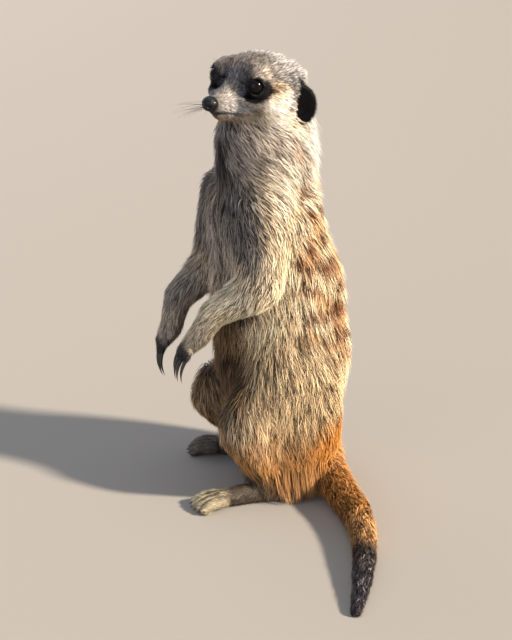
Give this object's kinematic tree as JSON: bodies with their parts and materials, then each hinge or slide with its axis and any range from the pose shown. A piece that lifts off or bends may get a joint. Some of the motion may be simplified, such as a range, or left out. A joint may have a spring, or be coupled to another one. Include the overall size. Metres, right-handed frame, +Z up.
{
  "type": "meerkat figure",
  "caption": "Life-size still figure of a meerkat sitting upright on its haunches, forepaws held low in front, head turned to its left and tail along the floor.",
  "frame": {"origin": "on the floor, at the middle of the figure's outline box seen from above", "axes": "+Z up, -Y the way the hips face, +X the animal's left, the side its tail lies on"},
  "size_m": [0.2752, 0.127, 0.2945],
  "materials": {
    "buff_coat": "golden-buff ticked fur",
    "pale_coat": "pale silvery fur",
    "rust_coat": "rusty orange fur",
    "black_coat": "brown-black short fur",
    "claw_horn": "dark horn, satin",
    "nose_leather": "moist dark skin",
    "eye": "wet dark eye"
  },
  "bodies": {
    "root": {"trunk": "buff_coat", "thigh_left": "buff_coat", "shank_left": "buff_coat", "upper_arm_left": "buff_coat", "thigh_right": "buff_coat", "shank_right": "buff_coat", "upper_arm_right": "buff_coat", "neck": "pale_coat", "head": "pale_coat", "forearm_left": "pale_coat", "forepaw_left": "pale_coat", "hind_foot_left": "pale_coat", "forearm_right": "pale_coat", "forepaw_right": "pale_coat", "hind_foot_right": "pale_coat", "tail_base": "rust_coat", "tail_middle": "rust_coat", "tail_tip": "black_coat", "ear_left": "black_coat", "ear_right": "black_coat", "eye_left": "eye", "eye_right": "eye", "nose": "nose_leather", "fore_claw_left_1": "claw_horn", "fore_claw_left_2": "claw_horn", "fore_claw_left_3": "claw_horn", "fore_claw_left_4": "claw_horn", "fore_claw_right_1": "claw_horn", "fore_claw_right_2": "claw_horn", "fore_claw_right_3": "claw_horn", "fore_claw_right_4": "claw_horn", "hind_claw_left_1": "claw_horn", "hind_claw_left_2": "claw_horn", "hind_claw_left_3": "claw_horn", "hind_claw_left_4": "claw_horn", "hind_claw_right_1": "claw_horn", "hind_claw_right_2": "claw_horn", "hind_claw_right_3": "claw_horn", "hind_claw_right_4": "claw_horn"}
  },
  "joints": []
}
